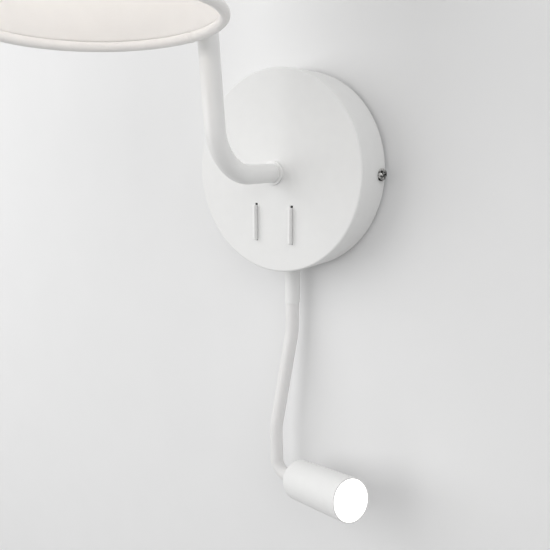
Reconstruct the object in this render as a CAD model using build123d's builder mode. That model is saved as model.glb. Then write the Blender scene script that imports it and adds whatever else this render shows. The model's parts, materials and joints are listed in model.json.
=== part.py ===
"""Bedside wall reading lamp: a round canopy on the wall carries a swivelling bent arm with a fabric
shade, two rocker switches, and a reading spot on a flexible neck.

Millimetres. The wall is the plane y = 0 and the lamp stands out of it towards -Y, with +Z up and +X to
the right as one faces the wall. The origin is the middle of the wall bracket's back face.
"""

import os
from math import cos, radians, sin, sqrt, tan

from build123d import *

os.makedirs("parts", exist_ok=True)

# ---- clearances ----
thread_gap = 0.02  # between a thread and its nut or bore, both drawn plain
press_gap = 0.05  # round pieces pushed into each other
running_gap = 0.06  # radial, where a piece turns in a hole
face_gap = 0.05  # between faces that slide on each other
loose_gap = 0.2  # a screw or a wire in its passing hole

# ---- canopy ----
canopy_radius = 75.0
canopy_depth = 32.5
canopy_wall = 1.5
canopy_edge_round = 1.5
wall_gap = 2.5  # shadow gap between the wall and the canopy's back edge
canopy_front = wall_gap + canopy_depth
canopy_inside = canopy_front - canopy_wall
canopy_bore = canopy_radius - canopy_wall

# ---- wall bracket ----
bracket_thickness = 2.0
bracket_half_height = 18.0
tab_gap = 0.5  # between a bracket tab and the canopy's inner wall
tab_reach = 14.0
tab_half_height = 6.0
tongue_half_width = 34.0
tongue_top = 62.0
fixing_pitch = 120.0
fixing_slot_length = 10.0
fixing_slot_radius = 2.25
cable_entry_radius = 7.0
cable_entry_x = 22.0
tab_outer = canopy_bore - tab_gap

# ---- screws ----
m4_radius = 1.95
m4_head_radius = 4.5
m4_head_height = 3.2
m4_side_length = 8.0
m4_side_out = 8.8  # distance of the side screws in front of the wall
m3_radius = 1.45
m3_head_radius = 2.75
m3_head_height = 2.0
recess_share = 0.55  # length of a cross recess, as a share of the head's width
head_round_share = 0.6  # rounding of a pan head's edge, as a share of its height
recess_width = 0.9
recess_depth = 1.2
earth_screw_x = 42.0
earth_screw_z = 9.0

# ---- LED driver ----
driver_width = 54.0
driver_height = 32.0
driver_depth = 18.0
driver_z = 42.0
driver_round = 1.5
ear_width = 6.5
ear_height = 12.0
ear_thickness = 2.0
ear_hole_inset = 3.0

# ---- terminal block ----
block_width = 26.0
block_height = 14.0
block_depth = 12.0
block_x = -33.0
pole_pitch = 8.0
pole_count = 3
terminal_row_pitch = 7.0
terminal_screw_radius = 1.7
terminal_screw_length = 3.0
terminal_screw_sink = 1.0
terminal_slot_width = 0.6
wire_hole_radius = 1.5
wire_hole_out = 6.0

# ---- clamp for the supply cable ----
clamp_x = 6.0
clamp_length = 8.0
clamp_channel_width = 9.0
clamp_channel_height = 7.0
clamp_wall = 2.0
clamp_foot = 6.5

# ---- rocker switches ----
rocker_x = 16.7
rocker_z = -38.5
rocker_length = 27.0
rocker_width = 2.0
rocker_pivot_inset = 4.0  # pivot behind the canopy's front face
rocker_proud = 3.7  # front of the level rocker before the canopy's front face
rocker_back = 4.5
rocker_back_half = 4.0
rocker_corner_round = 1.0
rocker_edge_round = 0.3
slot_side_gap = 0.3
slot_top_gap = 1.8
slot_bottom_gap = 0.5
cavity_side_gap = 0.5
cavity_depth = 11.0
housing_wall = 3.0
housing_end_wall = 1.75
housing_floor = 3.0
pin_radius = 0.8
pin_overlap = 2.5
terminal_tab_width = 6.3
terminal_tab_thickness = 0.8
terminal_tab_length = 8.0
terminal_tab_pitch = 16.0

# ---- arm root ----
collar_radius = 9.0
collar_thickness = 2.0
collar_round = 0.6
nipple_radius = 5.0
nipple_bore = 3.5
nipple_inner_end = 25.0  # distance from the wall
plug_length = 12.0
plug_thread_depth = 10.0
washer_radius = 11.0
washer_thickness = 1.5
nut_flats = 17.0
nut_thickness = 5.0

# ---- arm ----
arm_lean = 4.1  # degrees from upright at rest, towards -X
arm_radius = 7.0
arm_wall = 1.0
arm_bend = 32.0
arm_upright_out = 95.0  # centre line of the upright, from the wall
arm_top = 236.0  # centre line of the top run, above the root
arm_reach = 177.3  # centre line of the lampholder, from the wall
arm_drop = 38.0
arm_cable_radius = 2.5
arm_cable_tail = 5.0

# ---- shade, heights above its lower edge ----
shade_height = 120.0
shade_bottom_radius = 66.0  # of the lower ring wire's centre line
shade_taper = 4.0  # the upper ring's radius is less by this
hem_radius = 3.0
wire_radius = 1.5
fabric_thickness = 0.6
lining_thickness = 0.5
seam_gap = 0.2  # between a hem and the wall or the wire that it folds over
glue_line = 0.1  # between the fabric and its lining
ring_gap = 0.2  # between a ring wire and the wall's edge
carrier_arms = 3
fitter_radius = 19.0
fitter_thickness = 1.5
fitter_gap = 0.7
carrier_weld_inset = 1.0  # where the carrier's arms start, inside the fitter's rim

# ---- lampholder ----
holder_drop = 17.0  # the holder's flange below the shade's upper edge
holder_lip = 1.2  # inner rim of the flange, over the insert
skirt_radius = 13.5
skirt_bore = 12.25
skirt_length = 27.0
flange_radius = 16.5
flange_thickness = 2.0
ring_nut_radius = 17.0
ring_nut_height = 6.0
holder_cap_radius = 15.0
holder_cap_height = 13.0
holder_cap_wall = 1.3
holder_cap_shoulder = 6.0
holder_thread_reach = 8.0
holder_plug_length = 6.0
insert_height = 6.0
shell_radius = 7.45
shell_wall = 0.4
shell_length = 16.0
contact_length = 12.0
contact_width = 4.0
contact_thickness = 0.7

# ---- bulb ----
bulb_length = 78.0
bulb_cap_radius = 6.95
bulb_cap_length = 14.0
bulb_tip_radius = 2.4
bulb_tip_length = 2.3
globe_radius = 22.5
globe_wall = 1.0
collar_neck_radius = 7.6
collar_mouth_radius = 13.0
collar_height = 21.0
collar_band_height = 5.25  # straight part at its mouth

# ---- neck ----
neck_x = 1.8
neck_out = 12.0  # centre line in front of the wall
ferrule_radius = 6.0
ferrule_length = 30.0
ferrule_round = 0.4
spigot_radius = 4.0
spigot_reach = 10.0  # above the outside of the rim
spigot_bore = 2.5
saddle_radius = 8.0
saddle_height = 2.3
neck_nut_flats = 13.0
neck_nut_thickness = 4.0
neck_radius = 5.4
neck_start_drop = 7.0  # neck's upper end below the outside of the rim
# route of the neck's centre line from its upper end, and the bend radius at each corner
neck_steps = [
    (0.0, 0.0, 0.0),
    (0.0, 0.0, -47.3),
    (-8.7, -10.4, -132.7),
    (-6.95, -11.0, -174.8),
    (9.35, -11.9, -172.7),
    (17.75, -15.3, -169.9),
]
neck_bends = [80.0, 60.0, 11.5, 17.0]
# places where the neck is cut into links, as lengths along it, and the largest turn there in degrees
neck_cuts = [
    (33.0, 18.0),
    (58.0, 22.0),
    (83.0, 18.0),
    (108.0, 22.0),
    (132.5, 18.0),
    (154.0, 30.0),
    (170.0, 30.0),
]
link_gap = 0.3
link_spare = 3.0  # degrees that a cut opens beyond its largest turn
cut_spare = 1.0  # how far the cutting discs stand out of the neck

# ---- reading head, lengths along its axis from the rear face ----
head_radius = 16.0
head_length = 74.0
head_wall = 1.0
head_rear_wall = 3.0
head_rear_round = 4.0
gland_radius = 7.0
gland_length = 6.0
gland_bore = 2.5
sink_rear = 34.0
sink_length = 20.0
sink_fins = 12
sink_slot_width = 1.6
sink_slot_depth = 5.5
board_radius = 13.0
board_thickness = 1.6
chip_radius = 6.0
chip_thickness = 1.0
lens_rear_radius = 6.5
lens_flange = 4.0
lens_recess = 0.5
lens_ring_depth = 3.0
lens_ring_width = 1.6
head_wire_radius = 0.8
head_wire_pitch = 2.2

# ---- leads inside the canopy ----
supply_wire_radius = 1.1
supply_wire_bend = 6.0
driver_lead_drop = 8.0  # where leads leave the driver's sides, below its middle
neck_lead_radius = 1.5
neck_lead_out = 17.0  # its first run, straight out of the driver's side
neck_lead_bow = 22.0  # its widest corner, beyond the driver's side
neck_lead_bow_z = -10.0
neck_lead_turn = 9.0  # its next corner, beyond the driver's side
neck_lead_turn_z = -50.0
neck_lead_low_z = -57.0  # its last corner, above the neck
neck_lead_bends = [7.0, 25.0, 14.0, 8.0]

pieces = {}


def ring(outer, inner):
    """Draw a flat ring in the open sketch."""
    Circle(outer)
    Circle(inner, mode=Mode.SUBTRACT)


def pan_screw(seat, head_radius, head_height, shank_radius, shank_length):
    """Add a cross-recessed pan-head screw to the open part, its head standing on the seat plane."""
    with BuildSketch(seat) as head:
        Circle(head_radius)
    extrude(head.sketch, amount=head_height)
    rim = edges(Select.LAST).filter_by(GeomType.CIRCLE).sort_by(Axis(seat.origin, seat.z_dir))[-1]
    fillet(rim, head_height * head_round_share)
    with BuildSketch(seat) as shank:
        Circle(shank_radius)
    extrude(shank.sketch, amount=-shank_length)
    recess_length = 2 * head_radius * recess_share
    with BuildSketch(seat.offset(head_height)) as recess:
        Rectangle(recess_length, recess_width)
        Rectangle(recess_width, recess_length)
    extrude(recess.sketch, amount=-recess_depth, mode=Mode.SUBTRACT)


# ======== canopy and what fixes it to the wall ========

rocker_slot_length = rocker_length + slot_top_gap + slot_bottom_gap
rocker_slot_z = rocker_z + (slot_top_gap - slot_bottom_gap) / 2
rocker_slot_width = rocker_width + 2 * slot_side_gap

with BuildPart() as canopy:
    with BuildSketch(Plane.XZ.offset(wall_gap)):
        Circle(canopy_radius)
    extrude(amount=canopy_depth)
    fillet(canopy.edges().sort_by(Axis.Y)[0], canopy_edge_round)
    with BuildSketch(Plane.XZ.offset(wall_gap)):
        Circle(canopy_bore)
    extrude(amount=canopy_depth - canopy_wall, mode=Mode.SUBTRACT)
    with BuildSketch(Plane.XZ.offset(canopy_front)):
        Circle(nipple_radius + running_gap)
        with Locations((-rocker_x, rocker_slot_z), (rocker_x, rocker_slot_z)):
            Rectangle(rocker_slot_width, rocker_slot_length)
    extrude(amount=-canopy_wall, mode=Mode.SUBTRACT)
    with BuildSketch(Plane.XY.offset(-canopy_radius)):
        with Locations((neck_x, -neck_out)):
            Circle(spigot_radius + loose_gap)
    extrude(amount=2 * canopy_wall, mode=Mode.SUBTRACT)
    with BuildSketch(Plane.YZ.offset(-canopy_radius)):
        with Locations((-m4_side_out, 0)):
            Circle(m4_radius + loose_gap)
    extrude(amount=2 * canopy_radius, mode=Mode.SUBTRACT)
pieces["canopy"] = canopy

with BuildPart() as canopy_screws:
    for side in (-1, 1):
        seat = Plane(origin=(side * canopy_radius, -m4_side_out, 0), x_dir=(0, 1, 0), z_dir=(side, 0, 0))
        pan_screw(seat, m4_head_radius, m4_head_height, m4_radius, m4_side_length)
pieces["canopy_screws"] = canopy_screws

ear_hole_x = driver_width / 2 + ear_hole_inset
clamp_half_width = clamp_channel_width / 2 + clamp_wall
clamp_screw_z = clamp_half_width + m3_head_radius + loose_gap
bracket_half_width = sqrt(tab_outer**2 - bracket_half_height**2)
m3_places = [
    (-ear_hole_x, driver_z),
    (ear_hole_x, driver_z),
    (clamp_x, -clamp_screw_z),
    (clamp_x, clamp_screw_z),
]

with BuildPart() as wall_bracket:
    with BuildSketch(Plane.XZ):
        Rectangle(2 * bracket_half_width, 2 * bracket_half_height)
        with Locations((0, tongue_top / 2)):
            Rectangle(2 * tongue_half_width, tongue_top)
        for side in (-1, 1):
            with Locations((side * (tab_outer + bracket_half_width) / 2, 0)):
                Rectangle(tab_outer - bracket_half_width, 2 * tab_half_height)
        with Locations((-fixing_pitch / 2, 0), (fixing_pitch / 2, 0)):
            SlotOverall(fixing_slot_length, 2 * fixing_slot_radius, mode=Mode.SUBTRACT)
        with Locations((cable_entry_x, 0)):
            Circle(cable_entry_radius, mode=Mode.SUBTRACT)
        with Locations(*m3_places):
            Circle(m3_radius + thread_gap, mode=Mode.SUBTRACT)
        with Locations((earth_screw_x, earth_screw_z)):
            Circle(m4_radius + thread_gap, mode=Mode.SUBTRACT)
    extrude(amount=bracket_thickness)
    with BuildSketch(Plane.XZ):
        for side in (-1, 1):
            with Locations((side * (tab_outer - bracket_thickness / 2), 0)):
                Rectangle(bracket_thickness, 2 * tab_half_height)
    extrude(amount=tab_reach)
    with BuildSketch(Plane.YZ.offset(-tab_outer)):
        with Locations((-m4_side_out, 0)):
            Circle(m4_radius + thread_gap)
    extrude(amount=2 * tab_outer, mode=Mode.SUBTRACT)
pieces["wall_bracket"] = wall_bracket

with BuildPart() as bracket_screws:
    for x, z in m3_places:
        seat = Plane(origin=(x, -bracket_thickness - ear_thickness, z), z_dir=(0, -1, 0))
        pan_screw(seat, m3_head_radius, m3_head_height, m3_radius, bracket_thickness + ear_thickness)
pieces["bracket_screws"] = bracket_screws

with BuildPart() as earth_screw:
    seat = Plane(origin=(earth_screw_x, -bracket_thickness, earth_screw_z), z_dir=(0, -1, 0))
    pan_screw(seat, m4_head_radius, m4_head_height, m4_radius, bracket_thickness)
pieces["earth_screw"] = earth_screw

with BuildPart() as driver_case:
    with BuildSketch(Plane.XZ.offset(bracket_thickness)):
        with Locations((0, driver_z)):
            Rectangle(driver_width, driver_height)
    extrude(amount=driver_depth)
    fillet(driver_case.edges().filter_by(Axis.Y), driver_round)
    with BuildSketch(Plane.XZ.offset(bracket_thickness)):
        with Locations((0, driver_z)):
            Rectangle(driver_width + 2 * ear_width, ear_height)
        with Locations((-ear_hole_x, driver_z), (ear_hole_x, driver_z)):
            Circle(m3_radius + loose_gap, mode=Mode.SUBTRACT)
    extrude(amount=ear_thickness)
pieces["driver_case"] = driver_case

block_front = bracket_thickness + block_depth
with BuildPart() as terminal_block:
    with BuildSketch(Plane.XZ.offset(bracket_thickness)):
        with Locations((block_x, 0)):
            Rectangle(block_width, block_height)
    extrude(amount=block_depth)
    with BuildSketch(Plane.XZ.offset(block_front)):
        with Locations((block_x, 0)):
            with GridLocations(pole_pitch, terminal_row_pitch, pole_count, 2):
                Circle(terminal_screw_radius + press_gap)
    extrude(amount=-terminal_screw_sink - terminal_screw_length, mode=Mode.SUBTRACT)
    with BuildSketch(Plane.XY.offset(-block_height / 2)):
        with Locations((block_x, -bracket_thickness - wire_hole_out + wire_hole_radius)):
            with GridLocations(pole_pitch, 0, pole_count, 1):
                Circle(wire_hole_radius)
    extrude(amount=block_height, mode=Mode.SUBTRACT)
pieces["terminal_block"] = terminal_block

with BuildPart() as terminal_screws:
    with BuildSketch(Plane.XZ.offset(block_front - terminal_screw_sink)):
        with Locations((block_x, 0)):
            with GridLocations(pole_pitch, terminal_row_pitch, pole_count, 2):
                Circle(terminal_screw_radius)
    extrude(amount=-terminal_screw_length)
    with BuildSketch(Plane.XZ.offset(block_front - terminal_screw_sink)):
        with Locations((block_x, 0)):
            with GridLocations(pole_pitch, terminal_row_pitch, pole_count, 2):
                Rectangle(2 * terminal_screw_radius, terminal_slot_width)
    extrude(amount=-terminal_slot_width, mode=Mode.SUBTRACT)
pieces["terminal_screws"] = terminal_screws

with BuildPart() as cable_clamp:
    with BuildSketch(Plane.XZ.offset(bracket_thickness)):
        with Locations((clamp_x, 0)):
            Rectangle(clamp_length, 2 * clamp_half_width)
    extrude(amount=clamp_channel_height + clamp_wall)
    with BuildSketch(Plane.XZ.offset(bracket_thickness)):
        with Locations((clamp_x, 0)):
            Rectangle(clamp_length, 2 * (clamp_half_width + clamp_foot))
    extrude(amount=ear_thickness)
    with BuildSketch(Plane.XZ.offset(bracket_thickness)):
        with Locations((clamp_x, 0)):
            Rectangle(clamp_length, clamp_channel_width)
    extrude(amount=clamp_channel_height, mode=Mode.SUBTRACT)
    with BuildSketch(Plane.XZ.offset(bracket_thickness)):
        with Locations((clamp_x, -clamp_screw_z), (clamp_x, clamp_screw_z)):
            Circle(m3_radius + loose_gap)
    extrude(amount=ear_thickness, mode=Mode.SUBTRACT)
pieces["cable_clamp"] = cable_clamp

# ======== rocker switches ========

pivot_out = canopy_front - rocker_pivot_inset
rocker_front = rocker_pivot_inset + rocker_proud
cavity_width = rocker_width + 2 * cavity_side_gap
housing_depth = cavity_depth + housing_floor
housing_width = cavity_width + 2 * housing_wall
housing_length = rocker_slot_length + 2 * housing_end_wall
pin_length = cavity_width + 2 * pin_overlap

for name, x in (("left", -rocker_x), ("right", rocker_x)):
    with BuildPart() as switch_housing:
        with BuildSketch(Plane.XZ.offset(canopy_inside)):
            with Locations((x, rocker_slot_z)):
                Rectangle(housing_width, housing_length)
        extrude(amount=-housing_depth)
        with BuildSketch(Plane.XZ.offset(canopy_inside)):
            with Locations((x, rocker_slot_z)):
                Rectangle(cavity_width, rocker_slot_length)
        extrude(amount=-cavity_depth, mode=Mode.SUBTRACT)
        with BuildSketch(Plane.YZ.offset(x - pin_length / 2)):
            with Locations((-pivot_out, rocker_z)):
                Circle(pin_radius + thread_gap)
        extrude(amount=pin_length, mode=Mode.SUBTRACT)
    pieces[f"{name}_switch_housing"] = switch_housing

    # the blade's side view: local x points out of the canopy and local y up
    side_view = Plane(origin=(x, -pivot_out, rocker_z), x_dir=(0, -1, 0), z_dir=(-1, 0, 0))
    with BuildPart() as rocker:
        with BuildSketch(side_view):
            with BuildLine():
                Polyline(
                    (rocker_front, -rocker_length / 2),
                    (rocker_front, rocker_length / 2),
                    (0, rocker_length / 2),
                    (-rocker_back, rocker_back_half),
                    (-rocker_back, -rocker_back_half),
                    (0, -rocker_length / 2),
                    close=True,
                )
            make_face()
            Circle(pin_radius + running_gap, mode=Mode.SUBTRACT)
        extrude(amount=rocker_width / 2, both=True)
        fillet(rocker.faces().sort_by(Axis.Y)[0].edges().filter_by(Axis.X), rocker_corner_round)
        fillet(rocker.faces().sort_by(Axis.Y)[0].edges().filter_by(Axis.Z), rocker_edge_round)
    pieces[f"{name}_rocker"] = rocker

with BuildPart() as switch_pins:
    for x in (-rocker_x, rocker_x):
        with BuildSketch(Plane.YZ.offset(x - pin_length / 2)):
            with Locations((-pivot_out, rocker_z)):
                Circle(pin_radius)
        extrude(amount=pin_length)
pieces["switch_pins"] = switch_pins

with BuildPart() as switch_terminals:
    with BuildSketch(Plane.XZ.offset(canopy_inside - housing_depth)):
        with Locations((0, rocker_z)):
            with GridLocations(2 * rocker_x, terminal_tab_pitch, 2, 2):
                Rectangle(terminal_tab_thickness, terminal_tab_width)
    extrude(amount=-terminal_tab_length)
pieces["switch_terminals"] = switch_terminals

# ======== arm root: everything here turns with the arm ========

collar_front = canopy_front + face_gap + collar_thickness
washer_face = canopy_inside - face_gap
nut_face = washer_face - washer_thickness

with BuildPart() as arm_collar:
    with BuildSketch(Plane.XZ.offset(canopy_front + face_gap)):
        ring(collar_radius, nipple_radius + press_gap)
    extrude(amount=collar_thickness)
    front_edges = arm_collar.edges().filter_by(GeomType.CIRCLE).sort_by(Axis.Y)[:2]
    fillet(front_edges.sort_by(SortBy.RADIUS)[-1], collar_round)
pieces["arm_collar"] = arm_collar

with BuildPart() as arm_washer:
    with BuildSketch(Plane.XZ.offset(nut_face)):
        ring(washer_radius, nipple_radius + press_gap)
    extrude(amount=washer_thickness)
pieces["arm_washer"] = arm_washer

with BuildPart() as arm_nut:
    with BuildSketch(Plane.XZ.offset(nut_face - nut_thickness)):
        RegularPolygon(nut_flats / 2, 6, major_radius=False)
        Circle(nipple_radius + thread_gap, mode=Mode.SUBTRACT)
    extrude(amount=nut_thickness)
pieces["arm_nut"] = arm_nut

with BuildPart() as arm_nipple:
    with BuildSketch(Plane.XZ.offset(nipple_inner_end)):
        ring(nipple_radius, nipple_bore)
    extrude(amount=collar_front + plug_thread_depth - nipple_inner_end)
pieces["arm_nipple"] = arm_nipple

with BuildPart() as arm_plug:
    with BuildSketch(Plane.XZ.offset(collar_front)):
        ring(arm_radius - arm_wall - thread_gap, nipple_radius + thread_gap)
    extrude(amount=plug_length)
pieces["arm_plug"] = arm_plug

# ======== arm ========

# plane of the bent arm: local x points out of the wall, local y up along the leaning arm
lean = radians(arm_lean)
up = Vector(-sin(lean), 0, cos(lean))
side = Vector(cos(lean), 0, sin(lean))
arm_plane = Plane(origin=(0, 0, 0), x_dir=(0, -1, 0), z_dir=(-cos(lean), 0, -sin(lean)))
arm_end = arm_top - arm_drop

with BuildPart() as arm_tube:
    with BuildLine(arm_plane) as arm_line:
        FilletPolyline(
            (collar_front, 0),
            (arm_upright_out, 0),
            (arm_upright_out, arm_top),
            (arm_reach, arm_top),
            (arm_reach, arm_end),
            radius=arm_bend,
        )
    with BuildSketch(Plane.XZ.offset(collar_front)):
        ring(arm_radius, arm_radius - arm_wall)
    sweep()
pieces["arm_tube"] = arm_tube

holder_top = arm_end
holder_foot = holder_top - holder_cap_height  # where the cap meets the holder's body
cable_end = holder_foot - flange_thickness / 2
with BuildPart() as arm_cable:
    with BuildLine(arm_plane):
        FilletPolyline(
            (nipple_inner_end - arm_cable_tail, 0),
            (arm_upright_out, 0),
            (arm_upright_out, arm_top),
            (arm_reach, arm_top),
            (arm_reach, cable_end),
            radius=arm_bend,
        )
    with BuildSketch(Plane.XZ.offset(nipple_inner_end - arm_cable_tail)):
        Circle(arm_cable_radius)
    sweep()
pieces["arm_cable"] = arm_cable

# ======== lampholder ========

# heights below are above the shade's lower edge, on the axis that the arm's end points down
flange_top = shade_height - holder_drop
shade_foot = Vector(0, -arm_reach, 0) + up * (holder_foot - flange_top)
shade_plane = Plane(origin=shade_foot, x_dir=side, z_dir=up)
radial_plane = Plane(origin=shade_foot, x_dir=side, z_dir=(0, -1, 0))
shade_axis = Axis(shade_foot, up)
cap_top = flange_top + holder_cap_height
flange_bottom = flange_top - flange_thickness
insert_top = flange_top - flange_thickness / 2
insert_bottom = insert_top - insert_height

with BuildPart() as lampholder_nipple:
    with BuildSketch(shade_plane.offset(cap_top - holder_thread_reach)):
        Circle(nipple_radius)
    extrude(amount=holder_thread_reach)
    with BuildSketch(shade_plane.offset(cap_top)):
        Circle(arm_radius - arm_wall - thread_gap)
    extrude(amount=holder_plug_length)
    with BuildSketch(shade_plane.offset(cap_top - holder_thread_reach)):
        Circle(nipple_bore)
    extrude(amount=holder_thread_reach + holder_plug_length, mode=Mode.SUBTRACT)
pieces["lampholder_nipple"] = lampholder_nipple

with BuildPart() as lampholder_cap:
    with BuildSketch(radial_plane):
        with BuildLine():
            Polyline(
                (nipple_radius + thread_gap, cap_top),
                (holder_cap_radius - holder_cap_shoulder, cap_top),
                (holder_cap_radius, cap_top - holder_cap_shoulder),
                (holder_cap_radius, flange_top),
                (holder_cap_radius - holder_cap_wall, flange_top),
                (holder_cap_radius - holder_cap_wall, cap_top - holder_cap_shoulder - holder_cap_wall / 2),
                (holder_cap_radius - holder_cap_shoulder - holder_cap_wall / 2, cap_top - holder_cap_wall),
                (nipple_radius + thread_gap, cap_top - holder_cap_wall),
                close=True,
            )
        make_face()
    revolve(axis=shade_axis)
pieces["lampholder_cap"] = lampholder_cap

with BuildPart() as lampholder_body:
    with BuildSketch(radial_plane):
        with BuildLine():
            Polyline(
                (flange_radius, flange_top),
                (flange_radius, flange_bottom),
                (skirt_radius, flange_bottom),
                (skirt_radius, flange_bottom - skirt_length),
                (skirt_bore, flange_bottom - skirt_length),
                (skirt_bore, insert_top),
                (skirt_bore - holder_lip, insert_top),
                (skirt_bore - holder_lip, flange_top),
                close=True,
            )
        make_face()
    revolve(axis=shade_axis)
pieces["lampholder_body"] = lampholder_body

with BuildPart() as lampholder_insert:
    with BuildSketch(shade_plane.offset(insert_bottom)):
        Circle(skirt_bore - press_gap)
    extrude(amount=insert_height)
pieces["lampholder_insert"] = lampholder_insert

with BuildPart() as lampholder_shell:
    with BuildSketch(shade_plane.offset(insert_bottom - shell_length)):
        ring(shell_radius, shell_radius - shell_wall)
    extrude(amount=shell_length)
pieces["lampholder_shell"] = lampholder_shell

with BuildPart() as lampholder_contact:
    with BuildSketch(shade_plane.offset(insert_bottom - contact_thickness)):
        Rectangle(contact_length, contact_width)
    extrude(amount=contact_thickness)
pieces["lampholder_contact"] = lampholder_contact

# ======== bulb ========

tip_top = insert_bottom - contact_thickness
cap_end = tip_top - bulb_tip_length
collar_top = cap_end - bulb_cap_length
globe_top = collar_top - collar_height
globe_centre = tip_top - bulb_length + globe_radius

with BuildPart() as bulb_tip:
    with BuildSketch(shade_plane.offset(cap_end)):
        Circle(bulb_tip_radius)
    extrude(amount=bulb_tip_length)
pieces["bulb_tip"] = bulb_tip

with BuildPart() as bulb_cap:
    with BuildSketch(shade_plane.offset(collar_top)):
        Circle(bulb_cap_radius)
    extrude(amount=bulb_cap_length)
pieces["bulb_cap"] = bulb_cap

with BuildPart() as bulb_collar:
    with BuildSketch(radial_plane):
        with BuildLine():
            Polyline(
                (0, collar_top),
                (collar_neck_radius, collar_top),
                (collar_mouth_radius, globe_top + collar_band_height),
                (collar_mouth_radius, globe_top),
                (0, globe_top),
                close=True,
            )
        make_face()
    revolve(axis=shade_axis)
pieces["bulb_collar"] = bulb_collar

with BuildPart() as bulb_globe:
    with BuildSketch(radial_plane):
        with Locations((0, globe_centre)):
            ring(globe_radius, globe_radius - globe_wall)
            Rectangle(
                globe_radius, 2 * globe_radius, align=(Align.MAX, Align.CENTER), mode=Mode.SUBTRACT
            )
        with Locations((0, globe_top)):
            Rectangle(globe_radius, globe_radius, align=(Align.MIN, Align.MIN), mode=Mode.SUBTRACT)
    revolve(axis=shade_axis)
pieces["bulb_globe"] = bulb_globe

# ======== shade ========

shade_top_radius = shade_bottom_radius - shade_taper
low_ring = hem_radius
high_ring = shade_height - hem_radius


def wall_point(height, offset):
    """Point of the shade's slanting wall at a height, offset outwards from the ring wires' line."""
    share = (height - low_ring) / (high_ring - low_ring)
    return (shade_bottom_radius + share * (shade_top_radius - shade_bottom_radius) + offset, height)


def wall_band(low, high, inner, outer):
    """Fill a band of the shade's wall in the open sketch."""
    Polygon(
        wall_point(low, inner),
        wall_point(low, outer),
        wall_point(high, outer),
        wall_point(high, inner),
        align=None,
    )


wall_low = low_ring + wire_radius + ring_gap
wall_high = high_ring - wire_radius - ring_gap
fitter_bottom = flange_bottom - fitter_thickness
# each carrier arm runs from a point on the fitter's rim to the upper ring wire, as (radius, height)
arm_start = Vector(fitter_radius - carrier_weld_inset, fitter_bottom + fitter_thickness)
arm_finish = Vector(shade_top_radius, high_ring)


def carrier_arm(radius, mode):
    """Run the carrier's slanting arms from the fitter to the upper ring wire in the open part."""
    for number in range(carrier_arms):
        angle = radians(90 + 360 * number / carrier_arms)
        outward = side * cos(angle) + Vector(0, 1, 0) * sin(angle)
        start = shade_foot + outward * arm_start.X + up * arm_start.Y
        finish = shade_foot + outward * arm_finish.X + up * arm_finish.Y
        with BuildSketch(Plane(origin=start, z_dir=finish - start)) as section:
            Circle(radius)
        extrude(section.sketch, amount=(finish - start).length, mode=mode)


with BuildPart() as shade_carrier:
    with BuildSketch(shade_plane.offset(fitter_bottom)):
        ring(fitter_radius, skirt_radius + fitter_gap)
    extrude(amount=fitter_thickness)
    with BuildSketch(radial_plane):
        with Locations((shade_top_radius, high_ring)):
            Circle(wire_radius)
    revolve(axis=shade_axis)
    carrier_arm(wire_radius, Mode.ADD)
pieces["shade_carrier"] = shade_carrier

with BuildPart() as shade_ring_nut:
    with BuildSketch(shade_plane.offset(fitter_bottom - ring_nut_height)):
        ring(ring_nut_radius, skirt_radius + press_gap)
    extrude(amount=ring_nut_height)
pieces["shade_ring_nut"] = shade_ring_nut

with BuildPart() as shade_bottom_ring:
    with BuildSketch(radial_plane):
        with Locations((shade_bottom_radius, low_ring)):
            Circle(wire_radius)
    revolve(axis=shade_axis)
pieces["shade_bottom_ring"] = shade_bottom_ring

slot_inner = -lining_thickness - seam_gap
slot_outer = glue_line + fabric_thickness + seam_gap

with BuildPart() as shade_bottom_hem:
    with BuildSketch(radial_plane):
        with Locations((shade_bottom_radius, low_ring)):
            Circle(hem_radius)
    revolve(axis=shade_axis)
    with BuildSketch(radial_plane):
        with Locations((shade_bottom_radius, low_ring)):
            Circle(wire_radius + seam_gap)
        wall_band(low_ring, low_ring + 2 * hem_radius, slot_inner, slot_outer)
    revolve(axis=shade_axis, mode=Mode.SUBTRACT)
pieces["shade_bottom_hem"] = shade_bottom_hem

with BuildPart() as shade_top_hem:
    with BuildSketch(radial_plane):
        with Locations((shade_top_radius, high_ring)):
            Circle(hem_radius)
    revolve(axis=shade_axis)
    with BuildSketch(radial_plane):
        with Locations((shade_top_radius, high_ring)):
            Circle(wire_radius + seam_gap)
        wall_band(high_ring - 2 * hem_radius, high_ring, slot_inner, slot_outer)
    revolve(axis=shade_axis, mode=Mode.SUBTRACT)
    carrier_arm(wire_radius + seam_gap, Mode.SUBTRACT)
pieces["shade_top_hem"] = shade_top_hem

with BuildPart() as shade_lining:
    with BuildSketch(radial_plane):
        wall_band(wall_low, wall_high, -lining_thickness, 0)
    revolve(axis=shade_axis)
    carrier_arm(wire_radius + seam_gap, Mode.SUBTRACT)
pieces["shade_lining"] = shade_lining

with BuildPart() as shade_fabric:
    with BuildSketch(radial_plane):
        wall_band(wall_low, wall_high, glue_line, glue_line + fabric_thickness)
    revolve(axis=shade_axis)
    carrier_arm(wire_radius + seam_gap, Mode.SUBTRACT)
pieces["shade_fabric"] = shade_fabric

# ======== neck and what holds it in the rim ========

ferrule_end = -canopy_radius - ferrule_length
neck_start = Vector(neck_x, -neck_out, -canopy_radius - neck_start_drop)
saddle_top = -canopy_bore + saddle_height

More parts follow.
